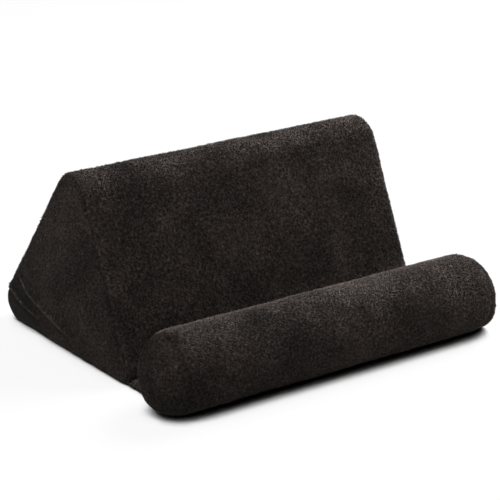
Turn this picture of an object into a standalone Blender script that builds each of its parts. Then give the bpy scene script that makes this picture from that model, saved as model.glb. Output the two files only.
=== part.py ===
"""A plush cushion stand: a foam wedge and a foam roll in sewn covers, joined by a cloth bridge.

Metres, +Z up. X runs along the roll, -Y is the side that the roll is on. The origin is on the
floor under the middle of the whole stand.
"""

import math

import bmesh
import bpy
from mathutils import Matrix, Vector
from mathutils.geometry import delaunay_2d_cdt

MM = 0.001

# The wedge, as the triangle of its cover's outer faces before its edges are rounded.
WEDGE_WIDTH = 238 * MM
WEDGE_BASE = 172.7 * MM
FRONT_ANGLE = math.radians(66)
BACK_ANGLE = math.radians(52.3)
FRONT_EDGE_RADIUS = 6 * MM
APEX_RADIUS = 19 * MM
BACK_EDGE_RADIUS = 14 * MM
SIDE_EDGE_RADIUS = 5 * MM
GUSSET_CROWN = 4 * MM

# The folds that the left side's plush has taken, each as the points of its crest. A point is
# (from the wedge's corner, up from the floor). A fold is steeper on its lower side.
BACK_CORNER_FOLDS = (
    ((25 * MM, 20.5 * MM), (38 * MM, 16 * MM), (57 * MM, 11 * MM), (68 * MM, 8 * MM)),
    ((33 * MM, 33.5 * MM), (48 * MM, 25.5 * MM), (77 * MM, 17.5 * MM), (110 * MM, 7.5 * MM)),
)
FRONT_CORNER_FOLDS = (
    ((17 * MM, 30 * MM), (14.5 * MM, 14.5 * MM), (6 * MM, 8 * MM)),
    ((47 * MM, 96 * MM), (34 * MM, 81 * MM), (23 * MM, 62 * MM)),
)
FOLD_RISE = 1.2 * MM
FOLD_WIDTH = 2.1 * MM
FOLD_STEP = 6 * MM

# The roll in front, whose ends sag a little, and the room between it and the wedge at the floor.
ROLL_RADIUS = 26.4 * MM
ROLL_LENGTH = 266 * MM
ROLL_EDGE_RADIUS = 20 * MM
ROLL_END_CROWN = 2 * MM
ROLL_END_SAG = 0.38
GROOVE_WIDTH = 18.2 * MM

# The plush, the bridge made of two layers of it, and what is left free between sewn pieces.
PLUSH = 2 * MM
BRIDGE_LAYERS = 2
BRIDGE_LIFT = 0.8 * MM
BRIDGE_SETBACK = 2 * MM
SEAM_GAP = 1.1 * MM
FOAM_CLEARANCE = 0.5 * MM
REST_GAP = 0.35 * MM
CUTTER_REACH = 20 * MM

# The zipper along the back, its middle measured up the slope from the sharp corner. The margin is what
# is left flat between the slot's tapered end and the rounded side edge.
ZIPPER_UP_SLOPE = 41 * MM
ZIPPER_MARGIN = 1 * MM
SLOT_HALF_WIDTH = 5.5 * MM
SLOT_END_TAPER = 8 * MM
TAPE_WIDTH = 11 * MM
TAPE_THICKNESS = 0.6 * MM
TAPE_TAIL = 6 * MM
TAPE_GAP = 0.4 * MM
COIL_WIDTH = 2 * MM
COIL_HEIGHT = 1.8 * MM
COIL_BEVEL = 0.5 * MM
CHAIN_GAP = 1.2 * MM
STOP_LENGTH = 2.4 * MM
STOP_OVERHANG = 0.3 * MM
STOP_BEVEL = 0.3 * MM

# The slider: two plates on a post, with a crown that the pull hangs from.
SLIDER_LENGTH = 9 * MM
SLIDER_NECK = 0.6 * MM
SLIDER_CORNER = 1.2 * MM
SLIDER_CLEARANCE = 0.3 * MM
PLATE_THICKNESS = 0.9 * MM
PLATE_BEVEL = 0.25 * MM
WELD_OVERLAP = 0.2 * MM
FLANGE_THICKNESS = 0.7 * MM
POST_WIDTH = 0.6 * MM
POST_LENGTH = 2.4 * MM
CROWN_LENGTH = 7 * MM
CROWN_WIDTH = 1.3 * MM
CROWN_THICKNESS = 0.8 * MM
CROWN_ROOM = 1.5 * MM
PULL_BAR = 0.95 * MM
PULL_LENGTH = 23 * MM
PULL_WIDTH = 6 * MM
PULL_WAIST = 3.8 * MM
PULL_FLARE = 8 * MM
PULL_CORNER = 0.9 * MM
PULL_BEVEL = 0.18 * MM
PULL_EYE_WIDTH = 3.2 * MM
PULL_HOLE_LENGTH = 3 * MM
PULL_HOLE_WIDTH = 2 * MM
PULL_RIM = 1.6 * MM

ARC_STEPS = 7
ROLL_STEPS = 36
CORNER_STEPS = 3
CROWN_STEPS = 8
EDGE_STEPS = 4
GUSSET_STEPS = 3
ROLL_END_STEPS = 5
SIDE_SHARES = (0.82, 0.62, 0.4, 0.2)
ROLL_END_SHARES = (0.5,)
SEAM_ANGLE = math.radians(45)
ROLL_SEAM_ANGLE = math.radians(21)
FOLD_SECTION = (
    (-2.4, 0.0),
    (-0.9, 0.6 * FOLD_RISE),
    (0.0, FOLD_RISE),
    (0.5, 0.6 * FOLD_RISE),
    (1.2, 0.0),
)


def turned(angle):
    """The unit vector at this angle in the (y, z) plane of the section."""
    return Vector((math.cos(angle), math.sin(angle)))


# The section's lines. Edges run front corner, apex, back corner, with the outside on their left.
wedge_height = WEDGE_BASE / (1 / math.tan(FRONT_ANGLE) + 1 / math.tan(BACK_ANGLE))
back_setback = BACK_EDGE_RADIUS * (1 / math.tan(BACK_ANGLE / 2) - 1)
zipper_length = WEDGE_WIDTH - 2 * (SIDE_EDGE_RADIUS + SLOT_END_TAPER + ZIPPER_MARGIN)
bridge_width = WEDGE_WIDTH - 2 * BRIDGE_SETBACK
depth = 2 * ROLL_RADIUS + GROOVE_WIDTH + WEDGE_BASE - back_setback
roll_centre = Vector((ROLL_RADIUS - depth / 2, ROLL_RADIUS))
front_tip = Vector((roll_centre.x + ROLL_RADIUS + GROOVE_WIDTH, 0))
back_tip = front_tip + Vector((WEDGE_BASE, 0))
apex_tip = front_tip + turned(FRONT_ANGLE) * wedge_height / math.sin(FRONT_ANGLE)
up_front = turned(FRONT_ANGLE)
up_back = turned(math.pi - BACK_ANGLE)
front_normal = FRONT_ANGLE + math.pi / 2
back_normal = math.pi / 2 - BACK_ANGLE
floor_normal = -math.pi / 2
bridge_angle = (front_normal + floor_normal + 2 * math.pi) / 2


def corner_centre(tip, along_one, along_other, radius):
    """The centre of the arc that rounds the corner at tip, between two edges that leave it."""
    half = along_one.angle(along_other) / 2
    return tip + (along_one + along_other).normalized() * radius / math.sin(half)


front_centre = corner_centre(front_tip, up_front, Vector((1, 0)), FRONT_EDGE_RADIUS)
apex_centre = corner_centre(apex_tip, -up_front, -up_back, APEX_RADIUS)
back_centre = corner_centre(back_tip, up_back, Vector((-1, 0)), BACK_EDGE_RADIUS)


def arc(centre, radius, start, end, steps=ARC_STEPS):
    """Points from one angle to another about centre."""
    return [centre + radius * turned(start + (end - start) * k / steps) for k in range(steps + 1)]


def front_arc(inset, start, end):
    return arc(front_centre, FRONT_EDGE_RADIUS - inset, start, end)


def apex_arc(inset):
    return arc(apex_centre, APEX_RADIUS - inset, front_normal, back_normal, 2 * ARC_STEPS)


def back_arc(inset, start, end):
    return arc(back_centre, BACK_EDGE_RADIUS - inset, start, end)


def slope_point(up_slope, inset):
    """A point on the back face, measured up the slope from its tip, and inwards from the plush's face."""
    return back_tip + up_back * up_slope - turned(back_normal) * inset


def wedge_outline(inset):
    """The whole rounded triangle, moved inwards, as a loop of points."""
    full_turn = 2 * math.pi
    return (
        front_arc(inset, floor_normal + full_turn, front_normal)
        + apex_arc(inset)
        + back_arc(inset, back_normal, floor_normal)
    )


incentre = corner_centre(front_tip, up_front, Vector((1, 0)), 1.0) - front_tip
inradius = WEDGE_BASE * wedge_height / (
    WEDGE_BASE + wedge_height / math.sin(FRONT_ANGLE) + wedge_height / math.sin(BACK_ANGLE)
)
incentre = front_tip + incentre * inradius


def material(name, colour, roughness, metallic=0.0):
    made = bpy.data.materials.new(name)
    made.use_nodes = True
    shader = made.node_tree.nodes["Principled BSDF"]
    shader.inputs["Base Color"].default_value = (*colour, 1)
    shader.inputs["Roughness"].default_value = roughness
    shader.inputs["Metallic"].default_value = metallic
    made.diffuse_color = (*colour, 1)
    return made


def place(name, mesh, finish, smooth=True):
    """Puts a mesh into the scene as one named piece."""
    mesh.materials.append(finish)
    if smooth:
        mesh.shade_smooth()
        mesh.set_sharp_from_angle(angle=math.radians(35))
    piece = bpy.data.objects.new(name, mesh)
    bpy.context.collection.objects.link(piece)
    return piece


def grid_mesh(name, columns):
    """A sheet of quads through columns of points, all with the same number of points."""
    mesh = bpy.data.meshes.new(name)
    rows = len(columns[0])
    corners = [point for column in columns for point in column]
    faces = [
        (i * rows + j, i * rows + j + 1, (i + 1) * rows + j + 1, (i + 1) * rows + j)
        for i in range(len(columns) - 1)
        for j in range(rows - 1)
    ]
    mesh.from_pydata(corners, [], faces)
    return mesh


def rings_mesh(name, rings, first_pole=None, last_pole=None):
    """A surface through closed rings of points, closed at either end by a fan to a pole."""
    mesh = bpy.data.meshes.new(name)
    count = len(rings[0])
    corners = [point for ring in rings for point in ring]
    faces = [
        (i * count + j, i * count + (j + 1) % count, (i + 1) * count + (j + 1) % count, (i + 1) * count + j)
        for i in range(len(rings) - 1)
        for j in range(count)
    ]
    if first_pole is not None:
        corners.append(first_pole)
        faces += [((j + 1) % count, j, len(corners) - 1) for j in range(count)]
    if last_pole is not None:
        start = (len(rings) - 1) * count
        corners.append(last_pole)
        faces += [(start + j, start + (j + 1) % count, len(corners) - 1) for j in range(count)]
    mesh.from_pydata(corners, [], faces)
    return mesh


def face_outwards(mesh):
    """Turns the faces of a closed mesh to point out."""
    shape = bmesh.new()
    shape.from_mesh(mesh)
    bmesh.ops.recalc_face_normals(shape, faces=shape.faces)
    shape.to_mesh(mesh)
    shape.free()
    return mesh


def face_away(mesh, middle):
    """Turns the faces of an open sheet so that they point away from a point behind it."""
    shape = bmesh.new()
    shape.from_mesh(mesh)
    bmesh.ops.recalc_face_normals(shape, faces=shape.faces)
    shape.faces.ensure_lookup_table()
    lean = sum(f.normal.dot(f.calc_center_median() - middle) * f.calc_area() for f in shape.faces)
    if lean < 0:
        bmesh.ops.reverse_faces(shape, faces=shape.faces)
    shape.to_mesh(mesh)
    shape.free()
    return mesh


def plush_panel(name, mesh, middle, finish):
    """Gives a sheet the plush's thickness, inwards from its outer face."""
    panel = place(name, face_away(mesh, middle), finish)
    thick = panel.modifiers.new("Plush", "SOLIDIFY")
    thick.thickness = PLUSH
    thick.offset = -1
    thick.use_even_offset = True
    return panel


def cut(piece, cutter):
    """Cuts a hidden helper out of a piece."""
    cutter.hide_render = True
    cutter.display_type = "WIRE"
    boolean = piece.modifiers.new("Cut", "BOOLEAN")
    boolean.operation = "DIFFERENCE"
    boolean.solver = "EXACT"
    boolean.object = cutter


def rounded_side(half_length, edge_radius, end):
    """(x, inset) round a side edge, from angle 0 on the long face towards 90 degrees on the end."""
    angles = [end * k / EDGE_STEPS for k in range(EDGE_STEPS + 1)]
    return [
        (half_length - edge_radius * (1 - math.sin(a)), edge_radius * (1 - math.cos(a)))
        for a in angles
    ]


def panel_columns(half_length, edge_radius, seam_angle, between):
    """(x, inset) of a long panel's columns from end to end, curling in at both ends as far as the seam."""
    last = seam_angle - SEAM_GAP / 2 / edge_radius
    right = rounded_side(half_length, edge_radius, last)
    left = [(-x, inset) for x, inset in reversed(right)]
    return left + [(x, 0.0) for x in between] + right


def edge_rings(half_length, edge_radius, start, depth_in, steps):
    """(x, inset, share) of the rings round an end's edge. The share is for rings past the edge."""
    radius = edge_radius - depth_in
    angles = [start + (math.pi / 2 - start) * k / steps for k in range(steps + 1)]
    return [
        (half_length - edge_radius + radius * math.sin(a), edge_radius - radius * math.cos(a), 1.0)
        for a in angles
    ]


def crown_rings(half_length, edge_radius, crown, depth_in, shares):
    """(x, inset, share) of the rings inside an end's edge, each shrunk about the end's middle."""
    return [(half_length - depth_in + crown_rise(crown, s), edge_radius, s) for s in shares]


def crown_rise(crown, share):
    """How far an end stands out at a share of the way from its middle to its rounded edge."""
    return crown * (1 - share * share) ** 2


# The wedge's cover.


def upper_slot_edge(x):
    """How far up the slope the upper panel ends: open over the zipper, sewn shut beyond it."""
    return ZIPPER_UP_SLOPE + slot_opening(x)


def lower_slot_edge(x):
    return ZIPPER_UP_SLOPE - slot_opening(x)


def slot_opening(x):
    """Half of the slot's width at x, tapered at both ends."""
    past_end = (abs(x) - zipper_length / 2) / SLOT_END_TAPER
    share = 1 - min(max(past_end, 0), 1)
    return SEAM_GAP / 2 + (SLOT_HALF_WIDTH - SEAM_GAP / 2) * share


def slot_columns():
    """Where the panels need columns to follow the slot's tapered ends."""
    half = zipper_length / 2
    ends = [half, half + SLOT_END_TAPER / 2, half + SLOT_END_TAPER]
    return [-x for x in reversed(ends)] + [0.0] + ends


def upper_panel(plush):
    """Front face, apex and back face in one piece of plush, from the bridge's seam to the zipper."""
    seam = bridge_angle - SEAM_GAP / 2 / FRONT_EDGE_RADIUS
    columns = []
    for x, inset in panel_columns(WEDGE_WIDTH / 2, SIDE_EDGE_RADIUS, SEAM_ANGLE, slot_columns()):
        path = front_arc(inset, seam, front_normal) + apex_arc(inset)
        path.append(slope_point(upper_slot_edge(x), inset))
        columns.append([(x, *point) for point in path])
    return plush_panel("upper_panel", grid_mesh("upper_panel", columns), wedge_middle, plush)


def base_panel(plush):
    """The underside, turned up round the back edge as far as the zipper."""
    seam = bridge_angle + SEAM_GAP / 2 / FRONT_EDGE_RADIUS
    full_turn = 2 * math.pi
    columns = []
    for x, inset in panel_columns(WEDGE_WIDTH / 2, SIDE_EDGE_RADIUS, SEAM_ANGLE, slot_columns()):
        path = front_arc(inset, seam, floor_normal + full_turn)
        path += back_arc(inset, floor_normal, back_normal)
        path.append(slope_point(lower_slot_edge(x), inset))
        columns.append([(x, *point) for point in path])
    return plush_panel("base_panel", grid_mesh("base_panel", columns), wedge_middle, plush)


def wedge_rings(side, start, depth_in):
    """The rings of points of one end of the wedge, round its edge and then over its crown."""
    half = WEDGE_WIDTH / 2
    shapes = edge_rings(half, SIDE_EDGE_RADIUS, start, depth_in, GUSSET_STEPS)
    shapes += crown_rings(half, SIDE_EDGE_RADIUS, GUSSET_CROWN, depth_in, SIDE_SHARES)
    return [
        [(side * x, *(incentre + (point - incentre) * share)) for point in wedge_outline(inset)]
        for x, inset, share in shapes
    ]


def wedge_pole(side, depth_in):
    return (side * (WEDGE_WIDTH / 2 - depth_in + GUSSET_CROWN), *incentre)


def share_at(point):
    """How far out a point of a side lies, from 0 in its middle to 1 at the rounded edge."""
    lines = ((front_tip, front_normal), (back_tip, back_normal), (back_tip, floor_normal))
    reaches = [inradius - (tip - point).dot(turned(normal)) for tip, normal in lines]
    return max(reaches) / (inradius - SIDE_EDGE_RADIUS)


def fold_crests():
    """Each fold's crest as points of the section, in even steps from its outer end."""
    crests = [[back_tip + Vector((-away, up)) for away, up in fold] for fold in BACK_CORNER_FOLDS]
    crests += [[front_tip + Vector((away, up)) for away, up in fold] for fold in FRONT_CORNER_FOLDS]
    return [evenly(crest, FOLD_STEP) for crest in crests]


def evenly(line, step):
    made = [line[0]]
    for start, end in zip(line, line[1:]):
        count = max(1, round((end - start).length / step))
        made += [start.lerp(end, k / count) for k in range(1, count + 1)]
    return made


def fold_points(crest):
    """(point, rise) across a fold and along it, from its gentle side to its steep one."""
    made = []
    for k, point in enumerate(crest):
        way = (crest[min(k + 1, len(crest) - 1)] - crest[max(k - 1, 0)]).normalized()
        lower = Vector((-way.y, way.x)) if way.x < 0 else Vector((way.y, -way.x))
        strength = math.sin(math.pi * (k + 0.5) / len(crest)) ** 0.5
        for across, rise in FOLD_SECTION:
            made.append((point + lower * across * FOLD_WIDTH, rise * strength))
    return made


def side_gusset(name, side, plush, crests=()):
    """A side panel: rings round its edge, then a net of triangles over its crown and its folds."""
    rings = wedge_rings(side, SEAM_ANGLE + SEAM_GAP / 2 / SIDE_EDGE_RADIUS, 0)
    rim = rings[GUSSET_STEPS]
    inner = [(Vector(corner[1:]), 0.0) for ring in rings[GUSSET_STEPS + 1 :] for corner in ring]
    inner.append((incentre, 0.0))
    folded = [sample for crest in crests for sample in fold_points(crest)]
    inner = [s for s in inner if all((s[0] - f[0]).length > 2 * FOLD_WIDTH for f in folded)]
    inner += [s for s in folded if share_at(s[0]) < 1 - FOLD_WIDTH / inradius]
    flat = [Vector(corner[1:]) for corner in rim] + [point for point, rise in inner]
    net = delaunay_2d_cdt(flat, [], [list(range(len(rim)))], 1, 0.01 * MM)
    edge = rings_mesh(name, rings[: GUSSET_STEPS + 1])
    shape = bmesh.new()
    shape.from_mesh(edge)
    heights = [0.0] * len(rim) + [rise for point, rise in inner]
    corners = []
    for point, sources in zip(net[0], net[3]):
        rise = crown_rise(GUSSET_CROWN, min(share_at(point), 1)) + heights[sources[0]]
        corners.append(shape.verts.new((side * (WEDGE_WIDTH / 2 + rise), *point)))
    for face in net[2]:
        shape.faces.new([corners[k] for k in face])
    bmesh.ops.remove_doubles(shape, verts=shape.verts, dist=0.02 * MM)
    shape.to_mesh(edge)
    shape.free()
    return plush_panel(name, edge, wedge_middle, plush)


def wedge_foam(finish):
    """The wedge's foam block, with the shallow channel that the zipper presses into it."""
    depth_in = PLUSH + FOAM_CLEARANCE
    rings = wedge_rings(-1, 0, depth_in)[::-1] + wedge_rings(1, 0, depth_in)
    mesh = rings_mesh("wedge_foam", rings, wedge_pole(-1, depth_in), wedge_pole(1, depth_in))
    foam = place("wedge_foam", face_outwards(mesh), finish)
    room_in = PLUSH + TAPE_GAP + TAPE_THICKNESS + 2 * SLIDER_CLEARANCE + PLATE_THICKNESS
    room_wide = CHAIN_GAP + 2 * TAPE_WIDTH + 2 * REST_GAP
    channel_size = (WEDGE_WIDTH + 2 * CUTTER_REACH, room_wide, 2 * room_in)
    channel = box("zipper_channel_cutter", channel_size, (0, 0, 0))
    channel.matrix_world = zipper_frame
    cut(foam, channel)
    return foam


# The roll's cover.


def roll_point(x, radius, angle, drop=0.0):
    return (x, *(roll_centre - Vector((0, drop)) + radius * turned(angle)))


def roll_seam():
    """The angle about the roll's axis at which the bridge meets it."""
    middle = BRIDGE_LIFT + BRIDGE_LAYERS * PLUSH / 2
    return -math.asin((ROLL_RADIUS - middle) / ROLL_RADIUS)


def roll_sleeve(plush):
    """A sheet of plush rolled round the foam, its two long edges meeting at the bridge."""
    gap = SEAM_GAP / 2 / ROLL_RADIUS
    start = roll_seam() + gap
    end = roll_seam() + 2 * math.pi - gap
    columns = []
    for x, inset in panel_columns(ROLL_LENGTH / 2, ROLL_EDGE_RADIUS, ROLL_SEAM_ANGLE, [0.0]):
        angles = [start + (end - start) * k / ROLL_STEPS for k in range(ROLL_STEPS + 1)]
        columns.append([roll_point(x, ROLL_RADIUS - inset, a, ROLL_END_SAG * inset) for a in angles])
    return plush_panel("roll_sleeve", grid_mesh("roll_sleeve", columns), roll_middle, plush)


def roll_rings(side, start, depth_in):
    """The rings of points of one end of the roll. Each sinks as it shrinks, so that the end sags."""
    half = ROLL_LENGTH / 2
    shapes = edge_rings(half, ROLL_EDGE_RADIUS, start, depth_in, ROLL_END_STEPS)
    shapes += crown_rings(half, ROLL_EDGE_RADIUS, ROLL_END_CROWN, depth_in, ROLL_END_SHARES)
    angles = [2 * math.pi * k / ROLL_STEPS for k in range(ROLL_STEPS)]
    return [
        [roll_point(side * x, (ROLL_RADIUS - inset) * share, a, roll_drop(inset, depth_in)) for a in angles]
        for x, inset, share in shapes
    ]


def roll_drop(inset, depth_in):
    return ROLL_END_SAG * (inset - depth_in)


def roll_pole(side, depth_in):
    x = side * (ROLL_LENGTH / 2 - depth_in + ROLL_END_CROWN)
    return roll_point(x, 0, 0, roll_drop(ROLL_EDGE_RADIUS, depth_in))


def roll_end(name, side, plush):
    rings = roll_rings(side, ROLL_SEAM_ANGLE + SEAM_GAP / 2 / ROLL_EDGE_RADIUS, 0)
    return plush_panel(name, rings_mesh(name, rings, last_pole=roll_pole(side, 0)), roll_middle, plush)


def roll_foam(finish):
    depth_in = PLUSH + FOAM_CLEARANCE
    rings = roll_rings(-1, 0, depth_in)[::-1] + roll_rings(1, 0, depth_in)
    mesh = rings_mesh("roll_foam", rings, roll_pole(-1, depth_in), roll_pole(1, depth_in))
    return place("roll_foam", face_outwards(mesh), finish)


def bridge(plush):
    """Two layers of plush sewn together, from the wedge's front seam to the roll's, the groove's floor."""
    low = BRIDGE_LIFT
    high = BRIDGE_LIFT + BRIDGE_LAYERS * PLUSH
    heights = [low + (high - low) * k / EDGE_STEPS for k in range(EDGE_STEPS + 1)]
    by_roll = ROLL_RADIUS + REST_GAP
    by_wedge = FRONT_EDGE_RADIUS + REST_GAP
    roll_side = [
        Vector((roll_centre.x + math.sqrt(by_roll**2 - (ROLL_RADIUS - z) ** 2), z)) for z in heights
    ]
    wedge_side = [
        Vector((front_centre.x - math.sqrt(by_wedge**2 - (front_centre.y - z) ** 2), z))
        for z in reversed(heights)
    ]
    outline = roll_side + wedge_side
    shape = bmesh.new()
    corners = [shape.verts.new((-bridge_width / 2, *point)) for point in outline]
    end_face = shape.faces.new(corners)
    pulled = bmesh.ops.extrude_face_region(shape, geom=[end_face])
    moved = [v for v in pulled["geom"] if isinstance(v, bmesh.types.BMVert)]
    bmesh.ops.translate(shape, verts=moved, vec=(bridge_width, 0, 0))
    mesh = bpy.data.meshes.new("bridge")
    shape.to_mesh(mesh)
    shape.free()
    return place("bridge", face_outwards(mesh), plush)


# The zipper, in its own frame: x towards -X, y up the slope, z out of the back face.


def slope_frame():
    """The matrix from the zipper's own frame to the stand's."""
    at = slope_point(ZIPPER_UP_SLOPE, 0)
    out = turned(back_normal)
    frame = Matrix.Identity(4)
    frame.col[0] = (-1, 0, 0, 0)
    frame.col[1] = (0, *up_back, 0)
    frame.col[2] = (0, *out, 0)
    frame.col[3] = (0, *at, 1)
    return frame


def box(name, size, middle, bevel=0.0):
    """A block, with its edges rounded if bevel is given."""
    shape = bmesh.new()
    bmesh.ops.create_cube(shape, size=1)
    bmesh.ops.scale(shape, verts=shape.verts, vec=size)
    if bevel:
        bmesh.ops.bevel(shape, geom=shape.edges, offset=bevel, segments=1, affect="EDGES")
    bmesh.ops.translate(shape, verts=shape.verts, vec=middle)
    mesh = bpy.data.meshes.new(name)
    shape.to_mesh(mesh)
    shape.free()
    block = bpy.data.objects.new(name, mesh)
    bpy.context.collection.objects.link(block)
    return block


def join(piece, *others):
    """Adds hidden blocks to a piece, as one body."""
    for other in others:
        other.hide_render = True
        other.display_type = "WIRE"
        other.parent = piece
        boolean = piece.modifiers.new("Join", "BOOLEAN")
        boolean.operation = "UNION"
        boolean.solver = "EXACT"
        boolean.object = other


def on_zipper(piece, finish, parent):
    piece.data.materials.append(finish)
    piece.parent = parent
    return piece


tape_top = -(PLUSH + TAPE_GAP)
coil_low = tape_top + REST_GAP
coil_top = coil_low + COIL_HEIGHT
slider_reach = zipper_length / 2 - REST_GAP


def zipper_tape(name, side, parent, finish):
    """One half of the woven tape, sewn under the plush's edge."""
    length = zipper_length + 2 * TAPE_TAIL
    middle = (0, side * (CHAIN_GAP + TAPE_WIDTH) / 2, tape_top - TAPE_THICKNESS / 2)
    return on_zipper(box(name, (length, TAPE_WIDTH, TAPE_THICKNESS), middle), finish, parent)


def coil_row(name, side, parent, finish):
    """One row of the nylon coil, as the bar that its turns fill."""
    length = zipper_length - STOP_LENGTH - REST_GAP
    middle = (
        (STOP_LENGTH + REST_GAP) / 2,
        side * (CHAIN_GAP + COIL_WIDTH) / 2,
        (coil_low + coil_top) / 2,
    )
    size = (length, COIL_WIDTH, COIL_HEIGHT)
    return on_zipper(box(name, size, middle, COIL_BEVEL), finish, parent)


def top_stop(name, side, parent, finish):
    """The clip that ends one row, where the slider parks when the cover is shut."""
    middle = (
        zipper_length / 2 + REST_GAP + STOP_LENGTH / 2,
        side * (CHAIN_GAP + COIL_WIDTH) / 2,
        (coil_low + coil_top) / 2,
    )
    size = (STOP_LENGTH, COIL_WIDTH + STOP_OVERHANG, COIL_HEIGHT)
    return on_zipper(box(name, size, middle, STOP_BEVEL), finish, parent)


def bottom_stop(parent, finish):
    """The clip across both rows at the end that the slider opens towards."""
    middle = (-zipper_length / 2 + STOP_LENGTH / 2, 0, (coil_low + coil_top) / 2)
    size = (STOP_LENGTH, CHAIN_GAP + 2 * COIL_WIDTH + STOP_OVERHANG, COIL_HEIGHT)
    return on_zipper(box("bottom_stop", size, middle, STOP_BEVEL), finish, parent)


def rounded_outline(corners):
    """A closed outline through corners given as (x, y, radius), each rounded by its radius."""
    tips = [Vector((x, y)) for x, y, radius in corners]
    made = []
    for k, (x, y, radius) in enumerate(corners):
        one = (tips[k - 1] - tips[k]).normalized()
        other = (tips[(k + 1) % len(tips)] - tips[k]).normalized()
        centre = corner_centre(tips[k], one, other, radius)
        start = tips[k] + one * (centre - tips[k]).dot(one) - centre
        end = tips[k] + other * (centre - tips[k]).dot(other) - centre
        first = math.atan2(start.y, start.x)
        turn = (math.atan2(end.y, end.x) - first + math.pi) % (2 * math.pi) - math.pi
        made += arc(centre, radius, first, first + turn, CORNER_STEPS)
    return made


def mirrored(corners):
    """Corners along one side, followed by the same ones across the x axis in turn."""
    return list(corners) + [(x, -y, radius) for x, y, radius in reversed(corners)]


def slab(name, outline, low, high, bevel=0.0):
    """A plate of this outline between two heights, with its rims bevelled."""
    shape = bmesh.new()
    flat = shape.faces.new([shape.verts.new((x, y, low)) for x, y in outline])
    raised = bmesh.ops.extrude_face_region(shape, geom=[flat])
    moved = [v for v in raised["geom"] if isinstance(v, bmesh.types.BMVert)]
    bmesh.ops.translate(shape, verts=moved, vec=(0, 0, high - low))
    if bevel:
        rims = [e for e in shape.edges if abs(e.verts[0].co.z - e.verts[1].co.z) < (high - low) / 2]
        bmesh.ops.bevel(shape, geom=rims, offset=bevel, segments=1, affect="EDGES")
    mesh = bpy.data.meshes.new(name)
    shape.to_mesh(mesh)
    shape.free()
    made = bpy.data.objects.new(name, face_outwards(mesh))
    bpy.context.collection.objects.link(made)
    return made


def plate_outline(shoulder):
    """The slider's plate from above: shoulders behind its nose, and a narrower tail."""
    half = SLIDER_LENGTH / 2
    corners = (
        (half, shoulder - SLIDER_NECK, SLIDER_CORNER),
        (half / 3, shoulder, SLIDER_CORNER),
        (-half, shoulder - SLIDER_NECK / 2, SLIDER_CORNER / 2),
    )
    return rounded_outline(mirrored(corners))


def crown(foot, finish_height):
    """The arched eye on the slider's back that the pull hangs in."""
    angles = [math.pi * k / CROWN_STEPS for k in range(CROWN_STEPS + 1)]
    rise = finish_height - foot
    inner_long = CROWN_LENGTH / 2 - CROWN_THICKNESS
    inner_tall = rise - CROWN_THICKNESS
    outer = [(CROWN_LENGTH / 2 * math.cos(a), rise * math.sin(a)) for a in angles]
    inner = [(inner_long * math.cos(a), inner_tall * math.sin(a)) for a in reversed(angles)]
    arch = slab("slider_crown", outer + inner, -CROWN_WIDTH / 2, CROWN_WIDTH / 2)
    arch.rotation_euler.x = math.pi / 2
    arch.location.z = foot
    return arch


def slider(parent, finish):
    """The body that rides on both rows: plates above the coil and under the tape, on a post at its nose."""
    plate_low = coil_top + SLIDER_CLEARANCE
    under_low = tape_top - TAPE_THICKNESS - SLIDER_CLEARANCE - PLATE_THICKNESS
    flange_at = CHAIN_GAP / 2 + COIL_WIDTH + SLIDER_CLEARANCE
    outline = plate_outline(flange_at + FLANGE_THICKNESS + SLIDER_NECK / 2)
    overlap = WELD_OVERLAP
    flange_low = tape_top + SLIDER_CLEARANCE
    flange_tall = plate_low + overlap - flange_low
    body = slab("slider", outline, plate_low, plate_low + PLATE_THICKNESS, PLATE_BEVEL)
    flanges = [
        box(
            "slider_flange_" + side_name,
            (SLIDER_LENGTH - 2 * SLIDER_CORNER, FLANGE_THICKNESS, flange_tall),
            (-overlap, side * (flange_at + FLANGE_THICKNESS / 2), flange_low + flange_tall / 2),
        )
        for side_name, side in (("upper", 1), ("lower", -1))
    ]
    under = slab("slider_under_plate", outline, under_low, under_low + PLATE_THICKNESS, PLATE_BEVEL)
    post_low = under_low + PLATE_THICKNESS - overlap
    post_tall = plate_low + overlap - post_low
    post_at = SLIDER_LENGTH / 2 - POST_LENGTH / 2 - 2 * overlap
    post = box("slider_post", (POST_LENGTH, POST_WIDTH, post_tall), (post_at, 0, post_low + post_tall / 2))
    crown_low = plate_low + PLATE_THICKNESS
    arch = crown(crown_low - overlap, crown_low + CROWN_ROOM + CROWN_THICKNESS)
    join(body, *flanges, post, under, arch)
    body.data.materials.append(finish)
    body.parent = parent
    body.location.x = slider_reach - SLIDER_LENGTH / 2
    return body


def pull_outline():
    """The pull seen from above: a square eye at the crown, a waist, and a flared, rounded tip."""
    eye_end = -(CROWN_LENGTH + PULL_BAR) / 2 - CROWN_THICKNESS
    neck = PULL_EYE_WIDTH / 2 + PULL_BAR
    corners = (
        (PULL_BAR / 2, neck, PULL_BAR / 2),
        (eye_end, neck, PULL_CORNER),
        (eye_end - PULL_BAR, PULL_WAIST / 2, PULL_CORNER),
        (eye_end - PULL_FLARE, PULL_WIDTH / 2, PULL_CORNER),
        (-PULL_LENGTH, PULL_WIDTH / 2, PULL_WIDTH / 2 - PULL_BEVEL),
    )
    return rounded_outline(mirrored(corners))


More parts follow.
